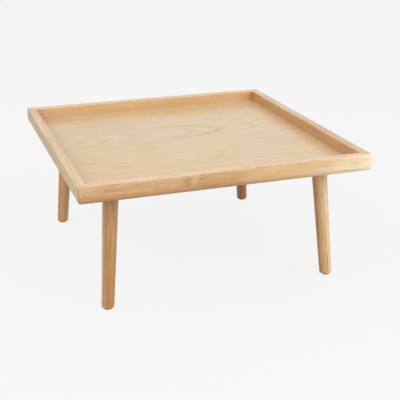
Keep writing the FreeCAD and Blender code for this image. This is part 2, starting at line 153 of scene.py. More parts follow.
# Spans: where a value starts and ends to count, and what it gives there if that isn't 0 and 1.
FAINT_SPAN = (-0.22, 0.22, 0.12, 0.85)
BREAK_SPAN = (-0.12, 0.16)
PATCHY_SPAN = (-0.2, 0.2, 0.5, 1.2)
DARK_FLECK_SPAN = (0.08, 0.22, 0.0, 0.45)
SHORT_FLECK_SPAN = (0.07, 0.2)
PORE_SPAN = (0.09, 0.2)
EARLY_PORE_SPAN = (0.0, 0.6, 0.22, 1.0)
SHADE_SPAN = (1.05, 2.0)
WARM_SPAN = (0.02, 0.2)
BLOTCH_SPAN = (0.2, 1.6, 1.0, 0.0)

# Shares of the features in the streaks, and of streaks and pores in the surface.
FIBRE_SHARE = 0.5
FLECK_SHARE = 0.45
BAND_SHARE = 0.7
CLOUD_SHARE = 0.6
KNOT_LINE_FALL = 0.6
BLOTCH_RAGGEDNESS = 2.5
PORE_DARKNESS = 0.55
PORE_ROUGHNESS = 0.2
STREAK_ROUGHNESS = 0.12
STREAK_HEIGHT = 0.35
RELIEF_DEPTH = 0.0002
TOP_BLEND = 0.0009
RAMP_MIDDLE = 0.5
WOOD_IOR = 1.5
LACQUER = 0.6
LACQUER_ROUGHNESS = 0.42
ANY_DEPTH = -1.0

# Marks on a piece of oak, placed in the grain's frame.
Knot = namedtuple("Knot", "x y z length width push strength")
Blotch = namedtuple("Blotch", "x z length height tone")
Patch = namedtuple("Patch", "x length share colour")


def opaque(colour):
    return (*colour, 1.0)


class Graph:
    """Short names for adding nodes to a node tree and joining them."""

    def __init__(self, tree):
        self.tree = tree

    def put(self, socket, value):
        if isinstance(value, bpy.types.NodeSocket):
            self.tree.links.new(value, socket)
        else:
            socket.default_value = value

    def node(self, kind, inputs=None, **settings):
        node = self.tree.nodes.new("ShaderNode" + kind)
        for name, value in settings.items():
            setattr(node, name, value)
        for name, value in (inputs or {}).items():
            self.put(node.inputs[name], value)
        return node

    def math(self, operation, *values, clamp=False):
        node = self.node("Math", operation=operation, use_clamp=clamp)
        for socket, value in zip(node.inputs, values):
            self.put(socket, value)
        return node.outputs[0]

    def add(self, *values):
        total = values[0]
        for value in values[1:]:
            total = self.math("ADD", total, value)
        return total

    def minus(self, first, second):
        return self.math("SUBTRACT", first, second)

    def times(self, *values):
        product = values[0]
        for value in values[1:]:
            product = self.math("MULTIPLY", product, value)
        return product

    def limit(self, value):
        return self.math("ADD", value, 0.0, clamp=True)

    def larger(self, first, second):
        return self.math("MAXIMUM", first, second)

    def offset(self, value, centre, scale):
        """How far value is from centre, in units of scale."""
        return self.math("DIVIDE", self.minus(value, centre), scale)

    def squares(self, *values):
        return self.add(*(self.times(value, value) for value in values))

    def bell(self, square, fall=1.0):
        """A bell curve over a squared distance."""
        return self.math("EXPONENT", self.times(square, -fall))

    def span(self, value, low, high, to_low=0.0, to_high=1.0):
        node = self.node("MapRange", {
            "Value": value, "From Min": low, "From Max": high, "To Min": to_low, "To Max": to_high,
        }, clamp=True)
        return node.outputs["Result"]

    def smooth_span(self, value, low, high):
        node = self.node("MapRange", {"Value": value, "From Min": low, "From Max": high},
                         clamp=True, interpolation_type="SMOOTHSTEP")
        return node.outputs["Result"]

    def noise(self, vector, per_metre, seed=0.0, detail=2.0, roughness=0.5):
        """Noise about zero, with the given number of features to the metre along x, y and z."""
        scaled = self.node("VectorMath", {0: vector, 1: per_metre}, operation="MULTIPLY")
        noise = self.node("TexNoise", {
            "Vector": scaled.outputs[0], "W": seed, "Scale": 1.0, "Detail": detail,
            "Roughness": roughness,
        }, noise_dimensions="4D")
        return self.minus(noise.outputs["Fac"], 0.5)

    def feature(self, vector, feature, seed):
        """Noise about zero for one feature of the oak's figure, with the grain along x."""
        per_metre = (feature.along, feature.across, feature.across)
        return self.noise(vector, per_metre, self.add(seed, feature.seed), feature.detail)

    def line_noise(self, value, seed):
        """Noise about zero along one number."""
        noise = self.node("TexNoise", {"W": self.add(value, seed), "Scale": 1.0, "Detail": 1.0},
                          noise_dimensions="1D")
        return self.minus(noise.outputs["Fac"], 0.5)

    def steps(self, value, pairs, blend="EASE"):
        """A tone, darker or paler, that follows (place, tone) pairs along value.

        A ramp holds no number below zero, so the tones are lifted to its middle and back.
        """
        low, high = pairs[0][0], pairs[-1][0]
        ramp = self.node("ValToRGB", {"Fac": self.span(value, low, high)})
        ramp.color_ramp.interpolation = blend
        elements = ramp.color_ramp.elements
        while len(elements) < len(pairs):
            elements.new(RAMP_MIDDLE)
        for element, (place, tone) in zip(elements, pairs):
            element.position = (place - low) / (high - low)
            element.color = opaque((RAMP_MIDDLE + tone,) * 3)
        return self.minus(ramp.outputs["Color"], RAMP_MIDDLE)

    def mix(self, share, first, second):
        node = self.node("Mix", data_type="RGBA")
        self.put(node.inputs["Factor"], share)
        self.put(node.inputs[6], first)
        self.put(node.inputs[7], second)
        return node.outputs[2]


GRAIN_INPUTS = ("Ring width", "Taper", "Wander", "Swirl", "Bold ring", "Coarseness", "Seed",
                "Broad share", "Fleck share", "Line floor")
GRAIN_OUTPUTS = ("Rings", "Streaks", "Pores", "Warmth")


def make_grain_group():
    """Solid oak figure: growth rings round a tapering pith along x, fibres, flecks and pores."""
    group = bpy.data.node_groups.new("oak_grain", "ShaderNodeTree")
    sockets = group.interface
    sockets.new_socket(name="Vector", in_out="INPUT", socket_type="NodeSocketVector")
    for name in GRAIN_INPUTS:
        sockets.new_socket(name=name, in_out="INPUT", socket_type="NodeSocketFloat")
    for name in GRAIN_OUTPUTS:
        sockets.new_socket(name=name, in_out="OUTPUT", socket_type="NodeSocketFloat")
    g = Graph(group)
    given = group.nodes.new("NodeGroupInput").outputs
    result = group.nodes.new("NodeGroupOutput").inputs
    vector, seed = given["Vector"], given["Seed"]
    fineness = g.math("DIVIDE", 1.0, given["Coarseness"])
    scaled = g.node("VectorMath", {0: vector, "Scale": fineness}, operation="SCALE")
    texture = scaled.outputs[0]

    along, across, deep = g.node("SeparateXYZ", {"Vector": vector}).outputs
    radius = g.math("SQRT", g.squares(across, deep))
    slow = g.feature(vector, SLOW_WANDER, seed)
    quick = g.feature(vector, QUICK_WANDER, seed)
    wander = g.times(given["Wander"], g.add(slow, g.times(quick, QUICK_SHARE)))
    reach = g.add(radius, g.times(along, given["Taper"]), wander, given["Swirl"])
    turn = g.math("DIVIDE", reach, given["Ring width"])
    uneven = g.times(g.line_noise(g.times(turn, UNEVEN_RATE), seed), UNEVEN_AMOUNT)
    phase = g.math("FRACT", g.add(turn, uneven))
    onset = g.smooth_span(phase, 0.0, EARLY_ONSET)
    early = g.times(onset, g.math("POWER", g.minus(1.0, phase), EARLY_POWER))
    faint = g.line_noise(g.times(turn, FAINT_RATE), g.add(seed, FAINT_SEED))
    strength = g.span(faint, *FAINT_SPAN)
    bold = g.bell(g.squares(g.minus(turn, given["Bold ring"])), BOLD_FALL)
    strength = g.add(strength, g.times(bold, BOLD_STRENGTH))
    breaks = g.feature(texture, LINE_BREAKS, seed)
    broken = g.span(breaks, *BREAK_SPAN, given["Line floor"], BREAK_FULL)
    patchy = g.span(g.feature(vector, LINE_PATCHES, seed), *PATCHY_SPAN)
    g.put(result["Rings"], g.times(early, strength, broken, patchy))

    fibre = g.feature(texture, FIBRES, seed)
    fleck = g.feature(texture, FLECKS, seed)
    band = g.feature(texture, BANDS, seed)
    cloud = g.feature(vector, CLOUDS, seed)
    short_fleck = g.span(g.feature(vector, SHORT_FLECKS, seed), *SHORT_FLECK_SPAN)
    broad = g.add(g.times(band, BAND_SHARE), g.times(cloud, CLOUD_SHARE))
    streaks = g.add(
        g.times(fibre, FIBRE_SHARE),
        g.times(fleck, FLECK_SHARE),
        g.span(fleck, *DARK_FLECK_SPAN),
        g.times(short_fleck, given["Fleck share"]),
        g.times(broad, given["Broad share"]),
    )
    g.put(result["Streaks"], streaks)
    g.put(result["Warmth"], cloud)

    dash = g.span(g.feature(vector, PORES, seed), *PORE_SPAN)
    g.put(result["Pores"], g.times(dash, g.span(early, *EARLY_PORE_SPAN)))
    return group


def make_material(name):
    material = bpy.data.materials.new(name)
    material.use_nodes = True
    graph = Graph(material.node_tree)
    shader = material.node_tree.nodes["Principled BSDF"]
    return material, graph, shader


def grain_place(axis, across, anchor, pith):
    """Turn and shift from the table's frame to the grain's: x along axis, y across it.

    The anchor is a point of the table, and pith is where it lies from the pith.
    """
    x = Vector(axis).normalized()
    y = (Vector(across) - x * x.dot(across)).normalized()
    turn = Matrix((x, y, x.cross(y)))
    shift = Vector(pith) - turn @ Vector(anchor)
    return turn.to_euler(), shift


def knot_fields(g, axes, knots):
    """How far the knots push the rings outwards, and how much stronger their lines are."""
    push = 0.0
    strength = 0.0
    for knot in knots:
        centre = (knot.x, knot.y, knot.z)
        scale = (knot.length, knot.width, knot.width)
        square = g.squares(*(g.offset(*spot) for spot in zip(axes, centre, scale)))
        push = g.add(g.times(g.bell(square), knot.push), push)
        strength = g.add(g.times(g.bell(square, KNOT_LINE_FALL), knot.strength), strength)
    return push, strength


def make_oak(name, place, *, tone=0.4, dark=OAK_DARK, seed=0.0, ring_width=0.003, taper=0.01,
             wander=0.006, bold_ring=NO_BOLD_RING, coarseness=1.0, ring_depth=0.5,
             streak_depth=0.55, broad=1.0, flecks=0.25, line_floor=0.2, warm=0.3, along=(),
             across=(), across_blend="EASE", upward=(), upward_fade=(), top=(), top_along=(),
             knots=(), blotches=(), patches=(), patch_depth=ANY_DEPTH, roughness=0.4,
             lacquer=LACQUER, lacquer_roughness=LACQUER_ROUGHNESS, relief=0.25):
    """Lacquered oak, in the grain's frame that place, from grain_place, gives.

    The tone runs from pale, at 0, to the dark colour, at 1, and past that to shade.
    along, across and upward: (place, tone) pairs that are added to the tone.
    upward_fade: the start and end along x over which upward fades, and the share that is left.
    top: the height above which one tone takes their place, that tone and its dark colour.
    top_along: (place, tone) pairs along x that are added to the top's tone.
    patches: tints on the face, only deeper than patch_depth.
    """
    material, g, shader = make_material(name)
    turn, shift = place
    point = g.node("TexCoord").outputs["Object"]
    mapping = g.node("Mapping", {"Vector": point, "Rotation": turn, "Location": shift})
    grain_point = mapping.outputs["Vector"]
    axes = g.node("SeparateXYZ", {"Vector": grain_point}).outputs
    x, y, z = axes
    swirl, emphasis = knot_fields(g, axes, knots)
    grain = g.node("Group", {
        "Vector": grain_point, "Ring width": ring_width, "Taper": taper, "Wander": wander,
        "Swirl": swirl, "Bold ring": bold_ring, "Coarseness": coarseness, "Seed": seed,
        "Broad share": broad, "Fleck share": flecks, "Line floor": line_floor,
    }, node_tree=grain_group)
    rings, streaks, pores, warmth = grain.outputs

    local_tone = tone
    dark_colour = opaque(dark)
    on_face = 1.0
    if along:
        local_tone = g.add(local_tone, g.steps(x, along))
    if across:
        local_tone = g.add(local_tone, g.steps(y, across, across_blend))
    if upward:
        height_tone = g.steps(z, upward)
        if upward_fade:
            fade_start, fade_end, share_left = upward_fade
            height_tone = g.times(height_tone, g.span(x, fade_start, fade_end, 1.0, share_left))
        local_tone = g.add(local_tone, height_tone)
    if top:
        top_height, top_tone, top_dark = top
        if top_along:
            top_tone = g.add(top_tone, g.steps(x, top_along))
        on_top = g.smooth_span(z, top_height - TOP_BLEND, top_height)
        on_face = g.minus(1.0, on_top)
        local_tone = g.add(g.times(local_tone, on_face), g.times(on_top, top_tone))
        dark_colour = g.mix(on_top, opaque(dark), opaque(top_dark))
    for blotch in blotches:
        dx = g.offset(x, blotch.x, blotch.length)
        dz = g.offset(z, blotch.z, blotch.height)
        ragged = g.times(g.feature(grain_point, BLOTCH_EDGES, seed), BLOTCH_RAGGEDNESS)
        inside = g.span(g.add(g.squares(dx, dz), ragged), *BLOTCH_SPAN)
        local_tone = g.add(local_tone, g.times(inside, on_face, blotch.tone))

    ring_tone = g.times(rings, g.times(g.add(emphasis, 1.0), ring_depth))
    full_tone = g.add(ring_tone, g.times(streaks, streak_depth), local_tone)
    wood = g.mix(g.limit(full_tone), opaque(OAK_PALE), dark_colour)
    wood = g.mix(g.span(full_tone, *SHADE_SPAN), wood, opaque(OAK_SHADE))
    wood = g.mix(g.span(warmth, *WARM_SPAN, 0.0, warm), wood, opaque(OAK_WARM))
    for patch in patches:
        near = g.bell(g.squares(g.offset(x, patch.x, patch.length)))
        deep_enough = g.smooth_span(y, patch_depth - TOP_BLEND, patch_depth)
        share = g.times(near, on_face, patch.share, deep_enough)
        wood = g.mix(share, wood, opaque(patch.colour))
    wood = g.mix(g.times(pores, PORE_DARKNESS), wood, opaque(OAK_PORE))
    rough = g.add(g.times(pores, PORE_ROUGHNESS), g.times(streaks, STREAK_ROUGHNESS), roughness)
    height = g.minus(g.times(streaks, STREAK_HEIGHT), pores)
    bump = g.node("Bump", {"Height": height, "Strength": relief, "Distance": RELIEF_DEPTH})
    g.put(shader.inputs["Base Color"], wood)
    g.put(shader.inputs["Roughness"], rough)
    g.put(shader.inputs["Normal"], bump.outputs["Normal"])
    shader.inputs["IOR"].default_value = WOOD_IOR
    shader.inputs["Coat Weight"].default_value = lacquer
    shader.inputs["Coat Roughness"].default_value = lacquer_roughness
    return material


MOTTLE_COARSE_RATE = 0.12
MOTTLE_COARSE_SHARE = 0.7
MOTTLE_MIDDLE = 0.5
MOTTLE_ROUGHNESS = 0.25
MOTTLE_RELIEF = 0.4


def make_speckled(name, *, pale, dark, per_metre, contrast, roughness, metallic=0.0, bump=0.00005,
                  sheen=0.0):
    """A plain material with fine mottling in its colour, roughness and surface."""
    material, g, shader = make_material(name)
    point = g.node("TexCoord").outputs["Object"]
    coarse = g.noise(point, (per_metre * MOTTLE_COARSE_RATE,) * 3, detail=3.0)
    fine = g.noise(point, (per_metre,) * 3, detail=4.0, roughness=0.65)
    mottle = g.add(g.times(fine, contrast), g.times(coarse, contrast * MOTTLE_COARSE_SHARE),
                   MOTTLE_MIDDLE)
    relief = g.node("Bump", {"Height": fine, "Strength": MOTTLE_RELIEF, "Distance": bump})
    g.put(shader.inputs["Base Color"], g.mix(g.limit(mottle), opaque(pale), opaque(dark)))
    g.put(shader.inputs["Roughness"], g.add(g.times(fine, MOTTLE_ROUGHNESS), roughness))
    g.put(shader.inputs["Normal"], relief.outputs["Normal"])
    shader.inputs["Metallic"].default_value = metallic
    shader.inputs["Sheen Weight"].default_value = sheen
    return material


PLY = 0.001
PLY_MIDDLE = 0.5
PLY_EDGE_SPAN = (0.23, 0.27)
BIRCH_STREAKS = (60.0, 60.0, 900.0)
BIRCH_TONE = 0.2
BIRCH_PLY_TONE = 0.55
BIRCH_STREAK_TONE = 0.8
BIRCH_ROUGHNESS = 0.7
BIRCH_STREAK_ROUGHNESS = 0.2
BIRCH_RELIEF = 0.3
BIRCH_RELIEF_DEPTH = 0.0001


def make_plywood(name):
    """Birch plywood: thin plies across z, alternately along and across."""
    material, g, shader = make_material(name)
    point = g.node("TexCoord").outputs["Object"]
    height = g.node("SeparateXYZ", {"Vector": point}).outputs["Z"]
    layer = g.math("FRACT", g.math("DIVIDE", height, 2.0 * PLY))
    darker = g.smooth_span(g.math("ABSOLUTE", g.minus(layer, PLY_MIDDLE)), *PLY_EDGE_SPAN)
    streak = g.noise(point, BIRCH_STREAKS, detail=3.0)
    tone = g.add(g.times(darker, BIRCH_PLY_TONE), g.times(streak, BIRCH_STREAK_TONE), BIRCH_TONE)
    wood = g.mix(g.limit(tone), opaque(BIRCH_PALE), opaque(BIRCH_DARK))
    rough = g.add(g.times(streak, BIRCH_STREAK_ROUGHNESS), BIRCH_ROUGHNESS)
    relief = g.node("Bump", {"Height": streak, "Strength": BIRCH_RELIEF,
                             "Distance": BIRCH_RELIEF_DEPTH})
    g.put(shader.inputs["Base Color"], wood)
    g.put(shader.inputs["Roughness"], rough)
    g.put(shader.inputs["Normal"], relief.outputs["Normal"])
    return material


def dress(piece, material):
    """Gives a piece one material, whatever slots it came with."""
    slots = piece.data.materials
    if not slots:
        slots.append(material)
    for index in range(len(slots)):
        slots[index] = material


def arc(centre, radius, start, end, steps):
    """Points on an arc in the rail's section, angles in degrees from +depth towards +height."""
    points = []
    for step in range(steps + 1):
        angle = math.radians(start + (end - start) * step / steps)
        points.append((centre[0] + radius * math.cos(angle), centre[1] + radius * math.sin(angle)))
    return points


def groove_heights():
    """Heights of the panel groove: the tongue, in the middle of the core, and its clearance."""
    low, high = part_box("panel_core")
    middle = (low.z + high.z) / 2
    half = TONGUE_HEIGHT / 2 + GROOVE_CLEARANCE
    return middle - half, middle + half


def rail_section():
    """A rail's outline as (depth from its outer face, height), from the bottom inner edge out.

    The large round has a point where the corner round ends, so that both rounds meet cleanly.
    """
    low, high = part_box("front_rail")
    thickness = high.y - low.y
    bottom, top = low.z, high.z
    core_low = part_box("panel_core")[0]
    groove_floor = core_low.y - low.y - GROOVE_CLEARANCE
    groove_low, groove_high = groove_heights()
    inner = thickness - EDGE_ROUND
    large = (BOTTOM_ROUND, bottom + BOTTOM_ROUND)
    corner_end = 180 + math.degrees(math.acos((BOTTOM_ROUND - CORNER_ROUND) / BOTTOM_ROUND))
    return [
        *arc((inner, bottom + EDGE_ROUND), EDGE_ROUND, 0, -90, EDGE_STEPS),
        *arc(large, BOTTOM_ROUND, 270, corner_end, BOTTOM_STEPS),
        *arc(large, BOTTOM_ROUND, corner_end, 180, BOTTOM_STEPS // 2)[1:],
        *arc((EDGE_ROUND, top - EDGE_ROUND), EDGE_ROUND, 180, 90, EDGE_STEPS),
        *arc((inner, top - EDGE_ROUND), EDGE_ROUND, 90, 0, EDGE_STEPS),
        (thickness, groove_high),
        (groove_floor, groove_high),
        (groove_floor, groove_low),
        (thickness, groove_low),
    ]


def inset_section(section, amount):
    """The section drawn in by amount along its own normals."""
    drawn_in = []
    count = len(section)
    for index, (depth, height) in enumerate(section):
        before = Vector(section[index - 1])
        after = Vector(section[(index + 1) % count])
        along = (after - before).normalized()
        drawn_in.append((depth + along.y * amount, height - along.x * amount))
    return drawn_in


def rail_mesh(name, section, length):
    """A mitred rail swept from its section, its outer face at y = 0 and its middle at x = 0."""
    half = length / 2
    count = len(section)
    eased = inset_section(section, MITRE_EASE)
    vertices = []
    faces = []

    def reach(depth):
        return half - MITRE_EASE - max(depth, CORNER_ROUND)

    def straight(share):
        def place(depth, height):
            return Vector((reach(depth) * share, depth, height))
        return place

    def round_corner(angle, sign):
        def place(depth, height):
            radius = max(CORNER_ROUND - depth, 0.0)
            out = reach(depth) + radius * math.sin(angle)
            inward = max(depth, CORNER_ROUND) - radius * math.cos(angle)
            return Vector((sign * out, inward, height))
        return place

    def on_mitre(sign):
        def place(depth, height):
            radius = max(CORNER_ROUND - depth, 0.0)
            inward = max(depth, CORNER_ROUND) - radius * math.sqrt(0.5)
            return Vector((sign * (half - inward), inward, height))
        return place

    def add_loop(points, place):
        start = len(vertices)
        vertices.extend(place(depth, height) for depth, height in points)
        return start

    def bridge(first, second):
        for index in range(count):
            after = (index + 1) % count
            ring = [first + index, first + after, second + after, second + index]
            if len({tuple(vertices[i]) for i in ring}) > 2:
                faces.append(ring)

    angles = [QUARTER_TURN / 2 * step / CORNER_STEPS for step in range(1, CORNER_STEPS + 1)]
    shares = [-1 + 2 * step / LENGTH_STEPS for step in range(LENGTH_STEPS + 1)]
    loops = [add_loop(eased, on_mitre(-1))]
    loops += [add_loop(section, round_corner(angle, -1)) for angle in reversed(angles)]
    loops += [add_loop(section, straight(share)) for share in shares]
    loops += [add_loop(section, round_corner(angle, 1)) for angle in angles]
    loops.append(add_loop(eased, on_mitre(1)))
    for first, second in zip(loops, loops[1:]):
        bridge(first, second)
    faces.append(list(range(loops[0], loops[0] + count)))
    faces.append(list(range(loops[-1] + count - 1, loops[-1] - 1, -1)))
    mesh = bpy.data.meshes.new(name)
    mesh.from_pydata(vertices, [], faces)
    return mesh


def tidy_mesh(mesh):
    """Joins doubled points, points all faces outwards and marks the sharp edges."""
    shape = bmesh.new()
    shape.from_mesh(mesh)
    bmesh.ops.remove_doubles(shape, verts=shape.verts, dist=WELD_DISTANCE)
    bmesh.ops.dissolve_degenerate(shape, edges=shape.edges, dist=WELD_DISTANCE)
    bmesh.ops.recalc_face_normals(shape, faces=shape.faces)
    shape.to_mesh(mesh)
    shape.free()
    mesh.shade_smooth()
    mesh.set_sharp_from_angle(angle=SHARP_ANGLE)


def slot_cutter(corner):
    """A block round a corner's hidden spline, larger by its clearance."""
    low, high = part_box(corner + "_spline")
    middle = (low + high) / 2
    inward = Vector((-middle.x, -middle.y, 0)).normalized()
    across = Vector((-inward.y, inward.x, 0))
    edges = ((inward, SPLINE_THICKNESS), (across, SPLINE_WIDTH), (UP, high.z - low.z))
    place = Matrix.Translation(middle)
    for column, (direction, size) in enumerate(edges):
        place.col[column] = (*(direction * (size / 2 + SPLINE_CLEARANCE)), 0)
    shape = bmesh.new()
    bmesh.ops.create_cube(shape, size=2.0, matrix=place)
    mesh = bpy.data.meshes.new("slot_cutter")
    shape.to_mesh(mesh)
    shape.free()
    cutter = bpy.data.objects.new("slot_cutter", mesh)
    bpy.context.scene.collection.objects.link(cutter)
    return cutter


def cut_slots(piece, corners):
    """Cuts the hidden slots for the splines into a rail's two mitres."""
    cutters = [slot_cutter(corner) for corner in corners]
    for cutter in cutters:
        cut = piece.modifiers.new("slot", "BOOLEAN")
        cut.operation, cut.solver, cut.object = "DIFFERENCE", "EXACT", cutter
    depsgraph = bpy.context.evaluated_depsgraph_get()
    whole = piece.data
    piece.data = bpy.data.meshes.new_from_object(piece.evaluated_get(depsgraph))
    piece.modifiers.clear()
    piece.data.name = whole.name + "_slotted"
    bpy.data.meshes.remove(whole)
    for cutter in cutters:
        bpy.data.meshes.remove(cutter.data)
    tidy_mesh(piece.data)


def make_rail(side, section, length):
    """One rail, swept in the front rail's place and turned to its side."""
    name = side + "_rail_timber"
    mesh = rail_mesh(name, section, length)
    outer_face = Matrix.Translation((0, -length / 2, 0))
    mesh.transform(Matrix.Rotation(QUARTER_TURN * SIDES.index(side), 4, "Z") @ outer_face)
    tidy_mesh(mesh)
    piece = bpy.data.objects.new(name, mesh)
    bpy.context.scene.collection.objects.link(piece)
    cut_slots(piece, [corner for corner in CORNERS if side in corner.split("_")])
    piece.modifiers.new("flat faces stay flat", "WEIGHTED_NORMAL").keep_sharp = True
    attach(piece, "root")
    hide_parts(side + "_rail")
    return piece


grain_group = make_grain_group()

# Rails: the front one has two knots and grows paler to the right; the inner faces are redder.
# The front rail's face takes painted shade towards its bottom and a painted sheen at its right
# end. The inner faces of the right and back rails are darker than their outer faces with painted
# shade, most on the right, and the inner corners at the back take warm patches of painted corner
# shade with bounce light. The tops take their own tones and colours: partly painted light and
# sheen, as tops and faces are the same wood.
PITH_BELOW_RAIL = 0.05
RAIL_END = 0.375
RAIL_TOP = 0.0724
INNER_FACE = 0.024
# Painted shade on the front rail's face, by height: darkest on the lower round and gone by its
# middle, a touch paler above that; upward_fade thins it towards the right end.
RAIL_PAINTED_SHADE_BY_HEIGHT = (
    (0.0275, 0.5), (0.0285, 0.5), (0.0305, 0.48), (0.034, 0.32), (0.041, 0.16), (0.0475, 0.06),
    (0.0525, 0.05), (0.0575, -0.02), (0.0625, -0.06), (0.0685, -0.05), (0.0702, 0.04),
    (0.0725, 0.04),
)
RAIL_LOOKS = {
    "front": {
        "tone": 0.7, "seed": 3.0, "ring_width": 0.008, "wander": 0.03, "coarseness": 1.6,
        "ring_depth": 0.6, "streak_depth": 0.75, "flecks": 0.45,
        "along": ((-RAIL_END, -0.02), (-0.1, 0.06), (-0.05, 0.1), (0.0, 0.08), (0.05, -0.08),
                  (0.17, -0.06), (0.24, -0.28), (0.3, -0.5), (RAIL_END, -0.66)),
        "upward": RAIL_PAINTED_SHADE_BY_HEIGHT, "upward_fade": (0.05, 0.26, 0.1),
        "top": (RAIL_TOP, 0.45, OAK_DARK),
        "knots": (
            Knot(-0.183, 0.0, 0.0377, length=0.017, width=0.015, push=0.034, strength=0.75),
            Knot(-0.076, 0.0, 0.0555, length=0.02, width=0.016, push=0.026, strength=0.75),
            Knot(0.13, 0.0, 0.05, length=0.06, width=0.05, push=-0.03, strength=-0.25),
        ),
        "blotches": (
            Blotch(-0.098, 0.0574, length=0.008, height=0.011, tone=-0.2),
            Blotch(-0.116, 0.0557, length=0.009, height=0.014, tone=0.12),
        ),
        "patches": (
            Patch(0.14, length=0.075, share=0.45, colour=OAK_STRAW),
            # A painted sheen on the right end.
            Patch(0.38, length=0.035, share=0.55, colour=OAK_PAINTED_SHEEN),
            # A dark joint line down the left mitre, with painted shade in it.
            Patch(-RAIL_END, length=0.0035, share=0.6, colour=OAK_SHADE),
        ),
    },
    "right": {
        "tone": 0.6, "dark": OAK_RED, "seed": 14.0, "ring_width": 0.0035,
        "along": ((-RAIL_END, -0.05), (-0.11, -0.05), (-0.105, 0.03), (0.096, 0.03), (0.1, 0.0),
                  (RAIL_END, 0.12)),
        # The inner face is darker than the outer: painted shade.
        "across": ((0.0, -0.05), (0.022, -0.05), (0.025, 0.16)),
        "top": (RAIL_TOP, 0.62, OAK_GREY),
        "top_along": ((-RAIL_END, 0.0), (-0.1, -0.02), (0.1, -0.04), (RAIL_END, -0.12)),
        "patch_depth": INNER_FACE,
        "patches": (
            # The first patch, at the back corner, is painted corner shade with warm bounce light;
            # the others are warm blotches in the wood.
            Patch(0.335, length=0.03, share=0.5, colour=OAK_BLUSH_AND_PAINTED_CORNER_SHADE),
            Patch(0.219, length=0.02, share=0.3, colour=OAK_BLUSH_AND_PAINTED_CORNER_SHADE),
            Patch(0.09, length=0.022, share=0.35, colour=OAK_BLUSH_AND_PAINTED_CORNER_SHADE),
            Patch(-0.008, length=0.02, share=0.35, colour=OAK_BLUSH_AND_PAINTED_CORNER_SHADE),
            Patch(-0.133, length=0.025, share=0.25, colour=OAK_BLUSH_AND_PAINTED_CORNER_SHADE),
        ),
    },
    "back": {
        "tone": 0.5, "dark": OAK_ORANGE, "seed": 25.0, "ring_width": 0.0032,
        "along": ((-RAIL_END, 0.08), (-0.06, 0.08), (-0.055, 0.0), (RAIL_END, 0.0)),
        # The inner face is a little darker than the outer: painted shade.
        "across": ((0.0, -0.05), (0.022, -0.05), (0.025, 0.0)),
        "top": (RAIL_TOP, 0.5, OAK_DARK),
        "patch_depth": INNER_FACE,
        "patches": (
            # Warm patches in both inner corners: painted corner shade with bounce light.
            Patch(-0.345, length=0.018, share=0.55, colour=OAK_BLUSH_AND_PAINTED_CORNER_SHADE),
            Patch(0.345, length=0.012, share=0.5, colour=OAK_BLUSH_AND_PAINTED_CORNER_SHADE),
        ),
    },
    "left": {
        "tone": 0.75, "dark": OAK_TAN, "seed": 36.0, "streak_depth": 0.4, "warm": 0.0,
        "lacquer": 0.2,
        "along": ((-RAIL_END, 0.02), (0.0, 0.01), (RAIL_END, -0.2)),
        "top": (RAIL_TOP, 0.47, OAK_GREY),
        "top_along": ((-RAIL_END, 0.08), (-0.1, 0.02), (RAIL_END, 0.0)),
        "patches": (Patch(0.33, length=0.12, share=0.2, colour=OAK_AMBER),),
    },
}

section = rail_section()
rail_low, rail_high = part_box("front_rail")
rail_length = cad_box[1].x - cad_box[0].x
rail_front = Vector((0, -rail_length / 2, (rail_low.z + rail_high.z) / 2))
for side in SIDES:
    piece = make_rail(side, section, rail_length)
    turn = Matrix.Rotation(QUARTER_TURN * SIDES.index(side), 3, "Z")
    place = grain_place(turn @ RIGHT, turn @ BACK, turn @ rail_front, (0, 0, PITH_BELOW_RAIL))
    dress(piece, make_oak(side + "_rail_oak", place, **RAIL_LOOKS[side]))

# Panel: a flat-sawn face, with its flames about a line behind the middle.
FLAME_LINE = 0.064
FLAME_TIP = 0.122
FLAME_TAPER = 0.0315
FLAME_RINGS = 0.00254
PITH_BELOW_PANEL = 0.4
UNDERSIDE_FLAME_LINE = -0.1
PITH_BELOW_UNDERSIDE = 0.3
PANEL_LENGTHS = ((-0.35, 0.06), (-0.1, 0.02), (0.1, 0.0), (0.35, -0.01))

veneer_low, veneer_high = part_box("top_veneer")
panel_point = (0, FLAME_LINE, veneer_high.z)
panel_oak = make_oak(
    "panel_oak", grain_place(RIGHT, BACK, panel_point, (0, 0, PITH_BELOW_PANEL)),
    tone=0.55, dark=OAK_HONEY, seed=2.0, ring_width=FLAME_RINGS, taper=FLAME_TAPER,
    bold_ring=(PITH_BELOW_PANEL + FLAME_TAPER * FLAME_TIP) / FLAME_RINGS, coarseness=2.0,
    ring_depth=0.45, broad=0.35, flecks=0.0, line_floor=0.5, warm=0.05, along=PANEL_LENGTHS,
    roughness=0.27, lacquer_roughness=0.2, relief=0.015,
)
dress(nodes["top_veneer"], panel_oak)
under_point = (0, UNDERSIDE_FLAME_LINE, veneer_low.z)
under_oak = make_oak(
    "underside_oak", grain_place(RIGHT, BACK, under_point, (0, 0, PITH_BELOW_UNDERSIDE)),
    tone=0.6, seed=47.0, taper=0.02,
)
dress(nodes["underside_veneer"], under_oak)
